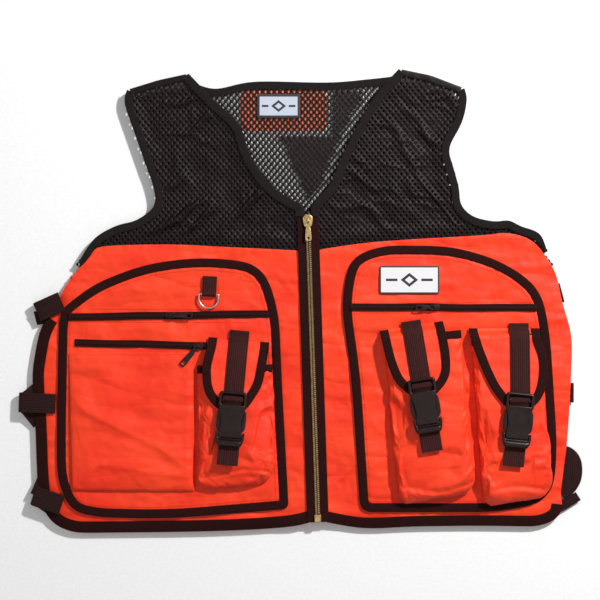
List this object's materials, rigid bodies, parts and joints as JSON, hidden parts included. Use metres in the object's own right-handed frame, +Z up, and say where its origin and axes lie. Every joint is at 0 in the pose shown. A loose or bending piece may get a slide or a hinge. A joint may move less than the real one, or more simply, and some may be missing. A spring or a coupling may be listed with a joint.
{
  "type": "blaze orange utility vest",
  "caption": "Blaze orange nylon vest with black net yokes, laid flat: bound pocket panels, zipped pockets, buckled flap pouches, brass front zipper and webbing side straps.",
  "frame": {"origin": "middle of the footprint, on the surface that the vest lies on", "axes": "+X to the right of a viewer who looks down at the front, +Y from the hem to the collar, +Z up out of the front"},
  "size_m": [0.7096, 0.5872, 0.0466],
  "materials": {
    "orange_nylon": "plain-weave nylon, slight sheen, wrinkled",
    "black_net": "knitted net with long holes",
    "black_trim": "ribbed grosgrain tape and webbing",
    "black_plastic": "moulded acetal, satin",
    "black_metal": "black enamel",
    "brass": "polished",
    "nickel_steel": "nickel plated wire",
    "white_label": "woven label"
  },
  "bodies": {
    "garment": {"back_net_panel": "black_net", "back_lower_panel": "orange_nylon", "back_tag_patch": "orange_nylon", "size_label": "white_label", "left_net_yoke": "black_net", "left_front_panel": "orange_nylon", "left_armhole_binding": "black_trim", "left_edge_binding": "black_trim", "right_net_yoke": "black_net", "right_front_panel": "orange_nylon", "right_armhole_binding": "black_trim", "right_edge_binding": "black_trim", "neck_binding": "black_trim", "left_pocket_panel": "orange_nylon", "left_pocket_binding": "black_trim", "right_pocket_panel": "orange_nylon", "right_pocket_binding": "black_trim", "cargo_pocket": "orange_nylon", "badge": "white_label", "left_zipper_half": "black_trim", "right_zipper_half": "black_trim", "zipper_box": "brass", "left_chest_zipper": "black_trim", "right_chest_zipper": "black_trim", "cargo_zipper": "black_trim", "d_ring_tab": "black_trim", "left_side_strap_top": "black_trim", "left_side_strap_middle": "black_trim", "left_side_strap_bottom": "black_trim", "right_side_strap_top": "black_trim", "right_side_strap_middle": "black_trim", "right_side_strap_bottom": "black_trim", "pouch_1": "orange_nylon", "pouch_1_flap": "orange_nylon", "pouch_1_strap": "black_trim", "pouch_1_buckle_plug": "black_plastic", "pouch_1_webbing": "black_trim", "pouch_2": "orange_nylon", "pouch_2_flap": "orange_nylon", "pouch_2_strap": "black_trim", "pouch_2_buckle_plug": "black_plastic", "pouch_2_webbing": "black_trim", "pouch_3": "orange_nylon", "pouch_3_flap": "orange_nylon", "pouch_3_strap": "black_trim", "pouch_3_buckle_plug": "black_plastic", "pouch_3_webbing": "black_trim"},
    "main_slider": {"zipper_slider": "brass"},
    "main_pull": {"zipper_pull": "brass"},
    "ring": {"d_ring": "nickel_steel"},
    "left_chest_slider": {"left_chest_zipper_slider": "black_metal"},
    "left_chest_pull": {"left_chest_zipper_pull": "black_metal"},
    "right_chest_slider": {"right_chest_zipper_slider": "black_metal"},
    "right_chest_pull": {"right_chest_zipper_pull": "black_metal"},
    "cargo_slider": {"cargo_zipper_slider": "black_metal"},
    "cargo_pull": {"cargo_zipper_pull": "black_metal"},
    "pouch_1_socket": {"pouch_1_buckle_socket": "black_plastic"},
    "pouch_2_socket": {"pouch_2_buckle_socket": "black_plastic"},
    "pouch_3_socket": {"pouch_3_buckle_socket": "black_plastic"}
  },
  "joints": [
    {"name": "main_zip_travel", "type": "slide", "parent": "garment", "child": "main_slider", "axis": [0.0335, -0.9994, 0], "range_m": [0, 0.359]},
    {"name": "main_pull_swing", "type": "hinge", "parent": "main_slider", "child": "main_pull", "pos_m": [0.00953, 0.09743, 0.0184], "axis": [-0.9994, -0.0335, 0], "range_deg": [0, 165]},
    {"name": "left_chest_zip_travel", "type": "slide", "parent": "garment", "child": "left_chest_slider", "axis": [0.9999, 0.0157, 0], "range_m": [-0.118, 0.1]},
    {"name": "left_chest_pull_swing", "type": "hinge", "parent": "left_chest_slider", "child": "left_chest_pull", "pos_m": [-0.16219, -0.02055, 0.0193], "axis": [0, -1, 0], "range_deg": [0, 165]},
    {"name": "right_chest_zip_travel", "type": "slide", "parent": "garment", "child": "right_chest_slider", "axis": [1, -0.0034, 0], "range_m": [-0.095, 0.119]},
    {"name": "right_chest_pull_swing", "type": "hinge", "parent": "right_chest_slider", "child": "right_chest_pull", "pos_m": [0.16783, -0.01044, 0.0193], "axis": [0, 1, 0], "range_deg": [0, 165]},
    {"name": "cargo_zip_travel", "type": "slide", "parent": "garment", "child": "cargo_slider", "axis": [0.9997, -0.0239, 0], "range_m": [-0.145, 0]},
    {"name": "cargo_pull_swing", "type": "hinge", "parent": "cargo_slider", "child": "cargo_pull", "pos_m": [-0.12722, -0.0583, 0.0193], "axis": [-0.7547, 0.6561, 0], "range_deg": [0, 165]},
    {"name": "d_ring_swing", "type": "hinge", "parent": "garment", "child": "ring", "pos_m": [-0.11377, 0.00592, 0.0176], "axis": [-0.9986, 0.0523, 0], "range_deg": [0, 160]},
    {"name": "pouch_1_buckle_release", "type": "slide", "parent": "garment", "child": "pouch_1_socket", "axis": [0.0865, 0.9882, -0.1262], "range_m": [0, 0.031], "deforming": ["pouch_1_strap"]},
    {"name": "pouch_2_buckle_release", "type": "slide", "parent": "garment", "child": "pouch_2_socket", "axis": [-0.1559, 0.9841, -0.085], "range_m": [0, 0.031], "deforming": ["pouch_2_strap"]},
    {"name": "pouch_3_buckle_release", "type": "slide", "parent": "garment", "child": "pouch_3_socket", "axis": [0.1045, 0.991, -0.084], "range_m": [0, 0.031], "deforming": ["pouch_3_strap"]}
  ]
}
